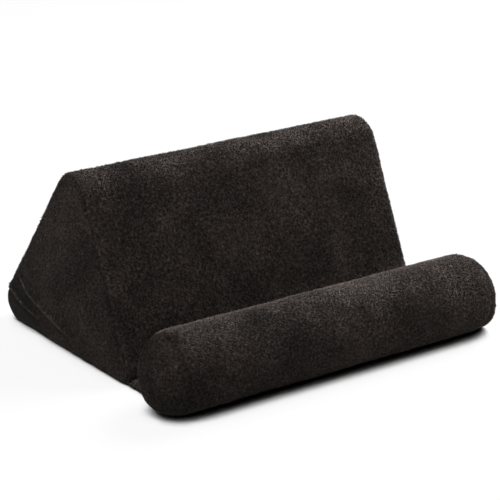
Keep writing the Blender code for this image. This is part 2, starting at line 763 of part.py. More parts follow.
def pull(body, finish):
    """The tab that hangs from the crown, made about the bar that turns under it."""
    tab = slab("pull_tab", pull_outline(), -PULL_BAR / 2, PULL_BAR / 2, PULL_BEVEL)
    tab.data.materials.append(finish)
    eye_end = -PULL_BAR / 2 - CROWN_LENGTH / 2 - CROWN_THICKNESS
    eye = ((-PULL_BAR / 2, PULL_EYE_WIDTH / 2, PULL_BAR / 2), (eye_end, PULL_EYE_WIDTH / 2, PULL_BAR / 2))
    hole_end = PULL_RIM - PULL_LENGTH
    rounding = PULL_HOLE_WIDTH / 2 - PULL_BEVEL
    hole = (
        (hole_end + PULL_HOLE_LENGTH, PULL_HOLE_WIDTH / 2, rounding),
        (hole_end, PULL_HOLE_WIDTH / 2, rounding),
    )
    for name, corners in (("pull_eye_cutter", eye), ("pull_hole_cutter", hole)):
        cutter = slab(name, rounded_outline(mirrored(corners)), -PULL_BAR, PULL_BAR)
        cutter.parent = tab
        cut(tab, cutter)
    tab.parent = body
    tab.location.z = coil_top + SLIDER_CLEARANCE + PLATE_THICKNESS + CROWN_ROOM / 2
    return tab


for old in list(bpy.data.objects):
    bpy.data.objects.remove(old, do_unlink=True)

wedge_middle = Vector((0, *incentre))
roll_middle = Vector((0, *roll_centre))
zipper_frame = slope_frame()


def build():
    plush = material("charcoal_plush", (0.018, 0.016, 0.015), 0.95)
    foam = material("polyurethane_foam", (0.78, 0.74, 0.62), 0.9)
    woven = material("zipper_tape", (0.012, 0.012, 0.013), 0.8)
    nylon = material("nylon_coil", (0.015, 0.015, 0.016), 0.4)
    zinc = material("black_zinc", (0.03, 0.03, 0.032), 0.35, 0.8)

    wedge_foam(foam)
    roll_foam(foam)
    upper_panel(plush)
    base_panel(plush)
    side_gusset("left_gusset", -1, plush, fold_crests())
    side_gusset("right_gusset", 1, plush)
    roll_sleeve(plush)
    roll_end("left_roll_end", -1, plush)
    roll_end("right_roll_end", 1, plush)
    bridge(plush)

    zipper = bpy.data.objects.new("zipper", None)
    bpy.context.collection.objects.link(zipper)
    zipper.matrix_world = zipper_frame
    for half, side in (("upper", 1), ("lower", -1)):
        zipper_tape(half + "_zipper_tape", side, zipper, woven)
        coil_row(half + "_coil_row", side, zipper, nylon)
        top_stop(half + "_top_stop", side, zipper, zinc)
    bottom_stop(zipper, zinc)
    body = slider(zipper, zinc)
    pull(body, zinc)


build()
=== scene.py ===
import math

import bmesh
import bpy
import numpy as np
from mathutils import Matrix, Vector, noise
from mathutils.geometry import delaunay_2d_cdt


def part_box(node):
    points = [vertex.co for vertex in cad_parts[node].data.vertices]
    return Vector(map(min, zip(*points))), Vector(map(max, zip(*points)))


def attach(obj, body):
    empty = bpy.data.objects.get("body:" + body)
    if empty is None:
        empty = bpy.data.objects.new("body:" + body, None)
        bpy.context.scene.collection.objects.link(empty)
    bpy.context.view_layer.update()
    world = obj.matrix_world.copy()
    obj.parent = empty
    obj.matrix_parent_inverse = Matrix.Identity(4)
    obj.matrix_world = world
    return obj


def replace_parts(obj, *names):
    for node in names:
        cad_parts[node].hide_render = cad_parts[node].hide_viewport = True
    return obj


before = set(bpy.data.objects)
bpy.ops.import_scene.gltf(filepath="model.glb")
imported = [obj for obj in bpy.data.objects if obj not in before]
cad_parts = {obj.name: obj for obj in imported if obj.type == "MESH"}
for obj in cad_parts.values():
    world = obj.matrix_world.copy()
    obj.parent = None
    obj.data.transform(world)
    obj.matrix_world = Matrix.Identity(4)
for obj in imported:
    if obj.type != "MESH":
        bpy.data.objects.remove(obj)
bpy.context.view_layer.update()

mm = 0.001
print("stage: packed frame loaded")

# The camera stands where the photograph was taken from. Its place was fitted to the outlines there.
camera = {
    "lens": 145.2,  # mm, on a 36 mm sensor
    "azimuth": -35.87,
    "elevation": 19.52,
    "place": (-0.73685, -1.0266, 0.5034),
}


def setCamera():
    made = bpy.data.objects.new("camera", bpy.data.cameras.new("camera"))
    bpy.context.collection.objects.link(made)
    made.data.lens = camera["lens"]
    turn, rise = math.radians(camera["azimuth"]), math.radians(camera["elevation"])
    back = Vector((math.sin(turn) * math.cos(rise), -math.cos(turn) * math.cos(rise), math.sin(rise)))
    made.location = camera["place"]
    made.rotation_euler = (-back).to_track_quat("-Z", "Y").to_euler()
    bpy.context.scene.camera = made


setCamera()


# Small helpers for materials and node trees.
def linear(hexColour):
    values = [int(hexColour[k : k + 2], 16) / 255 for k in (1, 3, 5)]
    return (*(v / 12.92 if v <= 0.04045 else ((v + 0.055) / 1.055) ** 2.4 for v in values), 1.0)


def setSockets(node, inputs):
    # an input is a value, a socket, or a node, which gives its first output
    for key, value in inputs.items():
        value = value.outputs[0] if isinstance(value, bpy.types.Node) else value
        if isinstance(value, bpy.types.NodeSocket):
            node.id_data.links.new(value, node.inputs[key])
        else:
            node.inputs[key].default_value = value
    return node


def adderFor(tree):
    def add(kind, inputs=None, operation=None, **settings):
        made = tree.nodes.new(kind)
        if operation:
            made.operation = operation
        for name, value in settings.items():
            setattr(made, name, value)
        return setSockets(made, inputs or {})

    return add


def newTree(name, sockets):
    # sockets: the kind of each named input, besides the geometry that goes in and out
    tree = bpy.data.node_groups.new(name, "GeometryNodeTree")
    tree.is_modifier = True
    for title, kind in {"Geometry": "Geometry", **sockets, "Material": "Material"}.items():
        tree.interface.new_socket(title, in_out="INPUT", socket_type="NodeSocket" + kind)
    tree.interface.new_socket("Geometry", in_out="OUTPUT", socket_type="NodeSocketGeometry")
    return tree, adderFor(tree), tree.nodes.new("NodeGroupInput").outputs


def endTree(add, geometry, material):
    add("NodeGroupOutput", {0: add("GeometryNodeSetMaterial", {"Geometry": geometry, "Material": material})})


def newMaterial(name):
    made = bpy.data.materials.new(name)
    made.use_nodes = True
    return made, made.node_tree.nodes["Principled BSDF"], adderFor(made.node_tree)


maths, vectors, mapRange = "ShaderNodeMath", "ShaderNodeVectorMath", "ShaderNodeMapRange"
mix, noiseTexture = "ShaderNodeMix", "ShaderNodeTexNoise"

# Short-pile polyester plush, knitted and sheared. It is matt, its colour breaks into small clumps where
# the pile parts, and it lightens at grazing angles because the fibre ends catch the light.
plushLook = {
    "deep": "#211d1c",
    "mid": "#3a3330",
    "light": "#60564f",
    "rampEnds": (0.38, 0.64),
    "clumpSize": 1.8,  # mm
    "clumpShare": 0.74,  # of the colour's variation, the rest being the larger patches
    "patchSize": 34.0,  # mm
    "fibreSize": 0.8,  # mm, coarser than the real fibre so that it shows
    "grain": 0.5,
    "paintedLightRamp": 0.18,  # painted light: the cloth is painted lighter from -X to +X
    "paintedCrestLight": 2.8,  # painted highlight: how much lighter the crest of a crease is painted
    # painted shade: how dark a crease's valley, the seams and the back corner are painted
    "paintedValleyShade": 0.04,
    "paintedRootShade": 0.35,  # painted shade at a tuft's root, where its tip is painted lighter
    "sheen": 0.1,
    "sheenColour": "#b9b0ab",
}


def plushMaterial(name, paintedTipLight):
    made, shader, add = newMaterial(name)
    place = add("ShaderNodeTexCoord").outputs["Object"]
    clump = add(noiseTexture, {
        "Vector": place, "Scale": 1 / (plushLook["clumpSize"] * mm), "Detail": 3.0, "Roughness": 0.6})
    patch = add(noiseTexture, {
        "Vector": place, "Scale": 1 / (plushLook["patchSize"] * mm), "Detail": 2.0, "Distortion": 0.6})
    fibre = add(noiseTexture, {"Vector": place, "Scale": 1 / (plushLook["fibreSize"] * mm), "Detail": 2.0})
    patches = add(maths, {0: patch, 1: 1 - plushLook["clumpShare"]}, "MULTIPLY")
    both = add(maths, {0: clump, 1: plushLook["clumpShare"], 2: patches}, "MULTIPLY_ADD")
    colour = add("ShaderNodeValToRGB", {"Fac": both})
    ends = colour.color_ramp.elements
    for end, title in ((0, "deep"), (1, "light")):
        ends[end].position, ends[end].color = plushLook["rampEnds"][end], linear(plushLook[title])
    ends.new(0.5).color = linear(plushLook["mid"])
    paintedShading = add("ShaderNodeAttribute", attribute_name="pressed").outputs["Fac"]
    # painted highlight on crests and painted shade in valleys, by seams and by the back corner, then the fibre's
    # grain and a painted light ramp along X
    shades = [
        add(mapRange, {
            "Value": paintedShading, "From Min": -1.0, "From Max": 0.0, "To Min": plushLook["paintedCrestLight"], "To Max": 1.0}),
        add(mapRange, {"Value": paintedShading, "To Min": 1.0, "To Max": plushLook["paintedValleyShade"]}),
        add(mapRange, {
            "Value": fibre, "From Min": 0.3, "From Max": 0.7, "To Min": 1 - plushLook["grain"],
            "To Max": 1 + plushLook["grain"]}),
        add(mapRange, {
            "Value": add("ShaderNodeSeparateXYZ", {0: place}), "From Min": -0.13, "From Max": 0.13,
            "To Min": 1 - plushLook["paintedLightRamp"], "To Max": 1 + plushLook["paintedLightRamp"]})]
    # painted shade at a tuft's root, lighter towards its tip
    if paintedTipLight:
        tip = add("ShaderNodeAttribute", attribute_name="tip").outputs["Fac"]
        shades.append(add(mapRange, {"Value": tip, "To Min": plushLook["paintedRootShade"], "To Max": paintedTipLight}))
    for shade in shades:
        colour = add(vectors, {0: colour, "Scale": shade}, "SCALE")
    height = add(maths, {0: fibre, 1: clump}, "ADD")
    setSockets(shader, {
        "Base Color": colour, "Roughness": 0.95, "Specular IOR Level": 0.15, "Sheen Weight": plushLook["sheen"],
        "Sheen Roughness": 0.45, "Sheen Tint": linear(plushLook["sheenColour"]),
        "Normal": add("ShaderNodeBump", {"Height": height, "Strength": 0.5, "Distance": 0.4 * mm})})
    return made


plush = plushMaterial("polyesterPlush", 0)
plushPile = plushMaterial("polyesterPlushPile", 1.6)


# The wedge's section. Sizes that the frame knows are read from it, and the rest are here.
wedge = {
    "frontSlope": 66,  # degrees from the floor
    "backSlope": 52.3,
    "base": 172.7,  # mm, between the sharp corners on the floor
    "frontRadius": 6,
    "apexRadius": 19,
    "backRadius": 14,
    "sideRadius": 5,
    "crown": 4,  # how far the middle of a side panel stands out
    "meshStep": 2.0,
    "rimStep": 1.4,  # round a side panel's rim
    "netStep": {-1: 0.95, 1: 1.5},  # inside the left side panel, which has the folds, and the right one
    "netMargin": 0.9,
    "slotRows": 66,  # up the back slope, above and below the zipper
    "lowRows": 5,
    "sink": 0.8,  # the knitted ground lies this far under the measured outline, which is the pile's
    "wall": 0.5,
    "slotUp": 41,  # the zipper's middle, up the back slope from its sharp corner
    "slotHalf": 5.5,
    "slotTaper": 8,
    "slotMargin": 1,
}
seam = {  # every seam of the cushion: a shallow puckered groove
    "angle": 45,  # degrees round the rounded edge
    "gap": 0.1,
    "dip": 0.45,
    "tuck": 0.7,
    "tuckReach": 1.4,
    "reach": 4.5,
    "puckerSize": 6.0,
    "puckerDepth": 0.3,
    # how far the pile is pressed by a seam, which also paints shade there
    "pressed": 0.28,
    "pressedReach": 1.8,  # the pile lies flatter this near the stitches, and is painted darker there as shade
}
softness = {  # slow swells of cloth over foam
    "swellSize": 42.0,
    "swellDepth": 0.5,
    "rippleSize": 15.0,
    "rippleDepth": 0.16,
    "floorFade": 4.0,  # they fade out this near the floor
}


def turned(angle):
    return np.array([math.cos(angle), math.sin(angle)])


def cornerCentre(tip, alongOne, alongOther, radius):
    half = math.acos(float(alongOne @ alongOther)) / 2
    middle = alongOne + alongOther
    return tip + middle / np.linalg.norm(middle) * radius / math.sin(half)


step = wedge["meshStep"] * mm
seamHalf = seam["gap"] / 2 * mm
frontRadius, apexRadius, backRadius, sideRadius = (
    wedge[name + "Radius"] * mm for name in ("front", "apex", "back", "side"))
frontSlope, backSlope = math.radians(wedge["frontSlope"]), math.radians(wedge["backSlope"])
frontNormal, backNormal, floorNormal = frontSlope + math.pi / 2, math.pi / 2 - backSlope, -math.pi / 2
upFront, upBack = turned(frontSlope), turned(math.pi - backSlope)
bridgeAngle = (frontNormal + floorNormal + 2 * math.pi) / 2
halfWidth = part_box("right_gusset")[1].x - wedge["crown"] * mm
zipEnd = halfWidth - (wedge["sideRadius"] + wedge["slotTaper"] + wedge["slotMargin"]) * mm
backTip = np.array([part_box("base_panel")[1].y + backRadius * (1 / math.tan(backSlope / 2) - 1), 0.0])
frontTip = backTip - np.array([wedge["base"] * mm, 0.0])
wedgeHeight = wedge["base"] * mm / (1 / math.tan(frontSlope) + 1 / math.tan(backSlope))
apexTip = frontTip + upFront * wedgeHeight / math.sin(frontSlope)
frontCentre = cornerCentre(frontTip, upFront, np.array([1.0, 0.0]), frontRadius)
apexCentre = cornerCentre(apexTip, -upFront, -upBack, apexRadius)
backCentre = cornerCentre(backTip, upBack, np.array([-1.0, 0.0]), backRadius)


# A path is a list of (point, normal angle) in the section, y and z.
def arcPath(centre, radius, start, end, step):
    count = max(2, math.ceil(abs(end - start) * radius / step))
    angles = [start + (end - start) * k / count for k in range(count + 1)]
    return [(centre + radius * turned(a), a) for a in angles]


def linePath(start, end, normal, count):
    return [(start + (end - start) * k / count, normal) for k in range(1, count)]


def straight(start, end, normal, step):
    return linePath(start, end, normal, max(2, math.ceil(np.linalg.norm(end - start) / step)))


def arcsPath(arcs, step):
    # arcs, each (centre, radius, start, end), and the straights between them
    path = []
    for arc in arcs:
        bend = arcPath(*arc, step)
        path += (straight(path[-1][0], bend[0][0], bend[0][1], step) if path else []) + bend
    return path


def slopePoint(upSlope):
    return backTip + upBack * upSlope


def slotOpening(x):
    past = (abs(x) - zipEnd) / (wedge["slotTaper"] * mm)
    return seamHalf + (wedge["slotHalf"] * mm - seamHalf) * (1 - min(max(past, 0), 1))


# What moves a point of the cover along its own normal: swells, ripples, puckers, folds.
gussetFolds = [  # on the left side: corner, rise, whether it runs open off the edge, crest (mm from the corner, up)
    ("back", 2.3, True, [(18, 26.4), (30, 22), (35, 20.3), (54, 14.5), (70, 11)]),
    ("back", 2.1, False, [(34, 38), (40, 35), (51, 28.6), (79, 18.5), (98, 13), (112, 8)]),
    ("back", 0.5, False, [(37, 43), (47.7, 39.5), (64, 38.2)]),
    ("front", 1.7, False, [(14.5, 34), (11, 25), (9.5, 17), (5, 9)]),
    ("front", 1.0, False, [(47, 96), (34, 81), (23, 62)]),
    ("front", 0.8, False, [(6.4, 18.7), (2, 9)]),
]
foldForm = {
    "wide": 2.1,  # mm, the unit of the lengths across a fold that follow
    "above": 1.5,
    "below": 0.45,
    "crest": 0.5,
    "valleyAt": 1.9,
    "shadeReach": 4.5,
    "shade": 0.6,
    "valley": 1.15,  # mm, its depth
    "reach": 12.0,  # mm, where a fold ends
    "inward": 9.0,  # mm from the side's plane, where the folds have faded out
    "inwardFade": 7.0,
    "onSide": 1.45,  # mm, a fold that isn't open stays this near the side's plane
}
paintedCornerShade = {"deep": 85.0, "deepFade": 40.0, "high": 42.0, "highFade": 20.0, "shade": 0.9}  # painted shade by the back corner: mm, and a share


def smooth(t):
    t = min(max(t, 0.0), 1.0)
    return t * t * (3 - 2 * t)


def bell(t):
    return math.exp(-(t**2))


def foldLine(corner, crest):
    tip, way = (backTip, -1) if corner == "back" else (frontTip, 1)
    return [Vector((tip[0] + way * away * mm, up * mm)) for away, up in crest]


def foldAt(here, line, rise, runsOpen):
    # across: signed distance in mm from the crest, positive on its lower, steeper side
    nearest, across, along, done = 1e9, 0.0, 0.0, 0.0
    total = sum((b - a).length for a, b in zip(line, line[1:]))
    for a, b in zip(line, line[1:]):
        length = (b - a).length
        way = (b - a) / length
        t = min(max((here - a).dot(way), 0.0), length)
        off = here - (a + way * t)
        if off.length < nearest:
            nearest, along = off.length, (done + t) / total
            lower = Vector((-way.y, way.x)) if way.x < 0 else Vector((way.y, -way.x))
            across = off.length if off.dot(lower) > 0 else -off.length
        done += length
    if nearest > foldForm["reach"] * mm:
        return 0.0, 0.0
    fade = smooth((1 - along) / 0.35) * (0.1 + 0.9 * smooth(along / 0.22) if runsOpen else smooth(along / 0.1))
    s = across / (foldForm["wide"] * mm)
    past = s - foldForm["valleyAt"]
    ridge = rise * bell(s / foldForm["above" if s < 0 else "below"])
    valley = foldForm["valley"] * bell(past)
    shaded = foldForm["shade"] * bell(past / foldForm["shadeReach"]) if past > 0 else 0.0
    marked = fade * min(1.0, rise / 2)
    # the second value: painted shade past the valley and a painted highlight on the crest, where the pile is also
    # pressed shorter
    return (ridge - valley) * fade * mm, (max(bell(past), shaded) - bell(s / foldForm["crest"])) * marked


foldLines = [(foldLine(corner, crest), rise, runsOpen) for corner, rise, runsOpen, crest in gussetFolds]


def foldDepth(place):
    # (rise or dip, how far the pile is pressed down there and painted dark as shade, negative on a crest, which is
    # painted lighter as a highlight)
    inward = (place[0] + halfWidth) / mm
    if inward > foldForm["inward"] or place[1] < frontTip[0] - 5 * mm:
        return 0.0, 0.0
    fade = smooth((foldForm["inward"] - inward) / foldForm["inwardFade"])
    here = Vector((place[1], place[2]))
    found = [foldAt(here, *fold) for fold in foldLines if inward < foldForm["onSide"] or fold[-1]]
    # painted shade by the back corner, low down: darker towards the corner and the floor
    dark = smooth((paintedCornerShade["deep"] - (backTip[0] - here.x) / mm) / paintedCornerShade["deepFade"])
    dark *= paintedCornerShade["shade"] * smooth((paintedCornerShade["high"] - here.y / mm) / paintedCornerShade["highFade"])
    pressed = sum(f[1] for f in found)
    return fade * sum(f[0] for f in found), fade * (pressed if pressed < -0.1 else max(pressed, dark))


def softDepth(place, seamDistance):
    at = Vector(place)
    swell = noise.noise(at / (softness["swellSize"] * mm)) * softness["swellDepth"]
    ripple = noise.noise(at / (softness["rippleSize"] * mm) + Vector((7, 3, 1))) * softness["rippleDepth"]
    near = 1 - min(seamDistance / (seam["reach"] * mm), 1)
    pucker = noise.noise(at / (seam["puckerSize"] * mm) + Vector((2, 9, 4)))
    dip = near * near * (seam["dip"] + seam["puckerDepth"] * pucker * 2)
    offFloor = smooth(place[2] / (softness["floorFade"] * mm))
    fold, creased = foldDepth(place)
    atSeam = seam["pressed"] * smooth(1 - seamDistance / (seam["pressedReach"] * mm))
    pressed = creased if creased < 0 and atSeam < 0.2 else max(creased, atSeam)
    return ((swell + ripple) * offFloor - dip - wedge["sink"] * offFloor) * mm + fold, pressed


def meshFrom(name, points, faces, material, smoothShade=True):
    made = bpy.data.meshes.new(name)
    made.from_pydata([tuple(p[:3]) for p in points], [], faces)
    made.materials.append(material)
    if smoothShade:
        made.shade_smooth()
    return made


def gridFaces(columns, rows, closed=False):
    # closed: each column's last point joins its first
    return [
        (i * rows + j, i * rows + (j + 1) % rows, (i + 1) * rows + (j + 1) % rows, (i + 1) * rows + j)
        for i in range(columns - 1)
        for j in range(rows if closed else rows - 1)
    ]


def orient(mesh, middle):
    # turns an open sheet's faces away from a point behind it
    shape = bmesh.new()
    shape.from_mesh(mesh)
    bmesh.ops.remove_doubles(shape, verts=shape.verts, dist=0.005 * mm)
    bmesh.ops.recalc_face_normals(shape, faces=shape.faces)
    lean = sum(f.normal.dot(f.calc_center_median() - middle) * f.calc_area() for f in shape.faces)
    if lean < 0:
        bmesh.ops.reverse_faces(shape, faces=shape.faces)
    shape.to_mesh(mesh)
    shape.free()


def addPiece(name, mesh):
    made = bpy.data.objects.new(name, mesh)
    bpy.context.collection.objects.link(made)
    return made


def plushPiece(name, points, faces, middle):
    # a point's fourth value says how far the pile is pressed there; where positive it paints shade, where negative a
    # highlight
    mesh = meshFrom(name, points, faces, plush)
    mesh.attributes.new("pressed", "FLOAT", "POINT").data.foreach_set("value", [p[3] for p in points])
    orient(mesh, middle)
    return addPiece(name, mesh)


def applied(piece):
    # the evaluated mesh, with no modifier left on the piece
    bpy.context.view_layer.update()
    made = bpy.data.meshes.new_from_object(piece.evaluated_get(bpy.context.evaluated_depsgraph_get()))
    piece.modifiers.clear()
    piece.data = made


def thicken(piece, wall):
    made = piece.modifiers.new("wall", "SOLIDIFY")
    made.thickness = wall * mm
    made.offset = -1
    applied(piece)


def grow(piece, nodes, values):
    made = piece.modifiers.new("nodes", "NODES")
    made.node_group = nodes
    for item in nodes.interface.items_tree:
        if item.in_out == "INPUT" and item.name in values:
            made[item.identifier] = values[item.name]
    applied(piece)
    piece.data.shade_smooth()


def longColumns(half, radius, inner, seamTilt):
    # (x, inset, tilt, tuck) from end to end. The panel curls in at both ends as far as the seam, and its
    # edge is tucked under the next panel's.
    last = seamTilt - seamHalf / radius
    count = max(4, math.ceil(last * radius / (step * 0.6)))
    tilts = [last * k / count for k in range(count + 1)]
    tilts.append(last + seam["tuckReach"] * mm / radius)
    right = [(half - radius * (1 - math.sin(t)), radius * (1 - math.cos(t)), t, 0.0) for t in tilts]
    right[-1] = (*right[-1][:3], seam["tuck"])
    flat = half - radius
    spans = max(1, round(2 * flat / step))
    xs = sorted([-flat + 2 * flat * k / spans for k in range(1, spans)] + inner)
    return [(-x, i, -t, u) for x, i, t, u in reversed(right)] + [(x, 0.0, 0.0, 0.0) for x in xs] + right


def coverPoint(x, inset, tilt, point, angle, seamDistance, end=None, tuck=0.0):
    # end: the roll's values for an end that sags and fills out
    out = turned(angle)
    drop = 0.0
    if end and inset > 0:
        fill = end["right"] if x > 0 else end["left"]
        drop = end["sag"] * inset * (1 - fill["full"])
        inset = inset * (1 - fill["full"] - fill["low"] * max(0.0, -out[1]))
    base = point - out * inset - np.array([0, drop])
    place = (x, base[0], base[1])
    normal = np.array([math.sin(tilt), math.cos(tilt) * out[0], math.cos(tilt) * out[1]])
    depth, pressed = softDepth(place, seamDistance)
    return (*(np.array(place) + normal * (depth - tuck * mm)), pressed)


def longPanel(name, pathOf, half, radius, middle, inner=(), seamTilt=math.pi / 4, end=None):
    # a panel with seams along both ends of its path and round both its ends
    columns = longColumns(half, radius, list(inner), seamTilt)
    points = []
    for x, inset, tilt, tuck in columns:
        path = pathOf(x)
        run = [0.0]
        for (a, _), (b, _) in zip(path, path[1:]):
            run.append(run[-1] + float(np.linalg.norm(b - a)))
        endSeam = max(0.0, (seamTilt - abs(tilt)) * radius) + max(0.0, half - radius - abs(x))
        for (point, angle), s in zip(path, run):
            nearest = min(endSeam, s, run[-1] - s)
            points.append(coverPoint(x, inset, tilt, point, angle, nearest, end, tuck))
    return plushPiece(name, points, gridFaces(len(columns), len(path)), middle)


inradius = wedge["base"] * mm * wedgeHeight / (
    wedge["base"] * mm + wedgeHeight / math.sin(frontSlope) + wedgeHeight / math.sin(backSlope))
incentre = cornerCentre(frontTip, upFront, np.array([1.0, 0.0]), inradius)
wedgeMiddle = Vector((0, *incentre))


def upperPath(x):
    path = arcsPath([(frontCentre, frontRadius, bridgeAngle - seamHalf / frontRadius, frontNormal),
                     (apexCentre, apexRadius, frontNormal, backNormal)], step)
    end = slopePoint(wedge["slotUp"] * mm + slotOpening(x))
    return path + linePath(path[-1][0], end, backNormal, wedge["slotRows"]) + [(end, backNormal)]


def basePath(x):
    path = arcsPath([(frontCentre, frontRadius, bridgeAngle + seamHalf / frontRadius, floorNormal + 2 * math.pi),
                     (backCentre, backRadius, floorNormal, backNormal)], step)
    end = slopePoint(wedge["slotUp"] * mm - slotOpening(x))
    return path + linePath(path[-1][0], end, backNormal, wedge["lowRows"]) + [(end, backNormal)]


slotColumns = [side * (zipEnd + k * wedge["slotTaper"] / 4 * mm) for side in (-1, 1) for k in range(5)]
upperPanel = longPanel("upperPanel", upperPath, halfWidth, sideRadius, wedgeMiddle, slotColumns)
basePanel = longPanel("basePanel", basePath, halfWidth, sideRadius, wedgeMiddle, slotColumns)
print("stage: wedge panels")


# A side panel: rings of points round the rounded edge, and an even net of triangles inside.
def outlinePath():
    fine = wedge["rimStep"] * mm
    path = arcsPath([(frontCentre, frontRadius, floorNormal + 2 * math.pi, frontNormal),
                     (apexCentre, apexRadius, frontNormal, backNormal),
                     (backCentre, backRadius, backNormal, floorNormal)], fine)
    return path + straight(path[-1][0], path[0][0], floorNormal, fine)


def crownRise(point):
    # 1 in the middle of a side, 0 along its rounded edge
    lines = ((frontTip, frontNormal), (backTip, backNormal), (backTip, floorNormal))
    share = max(inradius - (tip - point) @ turned(angle) for tip, angle in lines) / (inradius - sideRadius)
    return (1 - min(share, 1.0) ** 2) ** 2


def edgeRings(path, side, half, radius, seamTilt, rings, end=None):
    # rings of points from an end panel's seam round the rounded edge
    points = []
    first = seamTilt + seamHalf / radius
    for k in range(rings):
        tilt = first + (math.pi / 2 - first) * k / (rings - 1)
        x, inset = half - radius * (1 - math.sin(tilt)), radius * (1 - math.cos(tilt))
        points += [coverPoint(side * x, inset, side * tilt, p, a, (tilt - first) * radius, end) for p, a in path]
    return points


def sideGusset(name, side):
    path = outlinePath()
    count, rings = len(path), 6
    points = edgeRings(path, side, halfWidth, sideRadius, math.radians(seam["angle"]), rings)
    faces = gridFaces(rings, count, closed=True)
    inner = [p - turned(a) * sideRadius for p, a in path]
    netStep = wedge["netStep"][side] * mm
    ring = np.array(inner)
    ways = np.roll(ring, -1, axis=0) - ring
    lengths = np.maximum(np.linalg.norm(ways, axis=1), 1e-9)
    inward = np.stack([ways[:, 1], -ways[:, 0]], axis=1) / lengths[:, None]
    low, high = ring.min(axis=0), ring.max(axis=0)
    rowStep = netStep * 0.87  # rows of even triangles
    kept = []
    for j in range(int((high[1] - low[1]) / rowStep) + 1):
        for i in range(int((high[0] - low[0]) / netStep) + 2):
            p = np.array([low[0] + (i + 0.5 * (j % 2)) * netStep, low[1] + j * rowStep])
            if ((p - ring) * inward).sum(1).min() > wedge["netMargin"] * mm:
                kept.append(p)
    flat = [Vector(p) for p in inner] + [Vector(p) for p in kept]
    made = delaunay_2d_cdt(flat, [], [list(range(count))], 1, 1e-7)
    base = len(points)
    for p in made[0]:
        seamAway = math.pi / 4 * sideRadius + float(np.min(np.linalg.norm(ring - np.array(p), axis=1)))
        depth, pressed = softDepth((side * halfWidth, p.x, p.y), seamAway)
        out = halfWidth + wedge["crown"] * mm * crownRise(np.array(p)) + depth
        points.append((side * out, p.x, p.y, pressed))
    faces += [tuple(base + k for k in face) for face in made[2]]
    return plushPiece(name, points, faces, wedgeMiddle)


leftGusset = sideGusset("leftGusset", -1)
rightGusset = sideGusset("rightGusset", 1)
print("stage: side panels")


# The roll.
roll = {
    "edgeRadius": 20,
    "crown": 2,
    "sag": 0.38,  # how far an end's ring sinks for each mm that it shrinks
    "seamAngle": 21,  # degrees round the rounded end
    "right": {"full": 0.15, "low": 0.42},  # the far end is stuffed fuller than the near one
    "left": {"full": 0.0, "low": 0.0},
    "bridgeLift": 0.8,
    "bridgeThick": 4,
}
rollLow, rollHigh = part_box("roll_sleeve")
rollRadius = (rollHigh.z - rollLow.z) / 2
rollCentre = np.array([(rollLow.y + rollHigh.y) / 2, (rollLow.z + rollHigh.z) / 2])
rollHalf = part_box("right_roll_end")[1].x - roll["crown"] * mm
rollSeamTilt = math.radians(roll["seamAngle"])
rollMiddle = Vector((0, *rollCentre))
bridgeMiddle = (roll["bridgeLift"] + roll["bridgeThick"] / 2) * mm
rollSeam = -math.asin((rollRadius - bridgeMiddle) / rollRadius)


def sleevePath(x):
    gap = seamHalf / rollRadius
    return arcPath(rollCentre, rollRadius, rollSeam + gap, rollSeam + 2 * math.pi - gap, step)


rollSleeve = longPanel("rollSleeve", sleevePath, rollHalf, roll["edgeRadius"] * mm, rollMiddle, seamTilt=rollSeamTilt,
                       end=roll)


def rollEnd(name, side):
    radius = roll["edgeRadius"] * mm
    path = arcPath(rollCentre, rollRadius, 0, 2 * math.pi, 1.5 * mm)[:-1]
    count, edge, rings = len(path), 15, 4
    points = edgeRings(path, side, rollHalf, radius, rollSeamTilt, edge, roll)
    fill = roll["right"] if side > 0 else roll["left"]
    endCentre = rollCentre - np.array([0, roll["sag"] * radius * (1 - fill["full"])])
    for k in range(1, rings):
        share = 1 - k / rings
        for p, a in path:
            inset = radius * (1 - fill["full"] - fill["low"] * max(0.0, -turned(a)[1]))
            flat = endCentre + turned(a) * (rollRadius - inset) * share
            rise = roll["crown"] * mm * (1 - share * share) ** 2 + softDepth((side * rollHalf, *flat), 1)[0]
            points.append((side * (rollHalf + rise), *flat, 0.0))
    faces = gridFaces(edge + rings - 1, count, closed=True)
    poleDepth = softDepth((side * rollHalf, *endCentre), 1)[0]
    points.append((side * (rollHalf + roll["crown"] * mm + poleDepth), *endCentre, 0.0))
    start = (edge + rings - 2) * count
    faces += [(start + j, start + (j + 1) % count, len(points) - 1) for j in range(count)]
    return plushPiece(name, points, faces, rollMiddle)


leftRollEnd = rollEnd("leftRollEnd", -1)
rightRollEnd = rollEnd("rightRollEnd", 1)
print("stage: roll")

# The pile: short leaning tufts on the ground cloth, made by Geometry Nodes. A real fibre is far too fine
# to show, so each tuft stands for a clump of them.
pile = {
    "spacing": 0.98,  # mm
    "fineSpacing": 0.79,  # on the side panels and the roll
    "length": 2.1,
    "width": 0.82,
    "lean": 57,  # degrees off the cloth's normal
    "napSize": 30.0,  # mm, how far the brushed direction stays alike
    "napTurn": 0.9,
    "stray": 0.42,
    "clumpSize": 3.2,
    "floorClear": 0.8,  # mm, no tuft starts lower
    "seed": 5,
    "cells": 224,  # along each side of the bake, one for each tuft
}


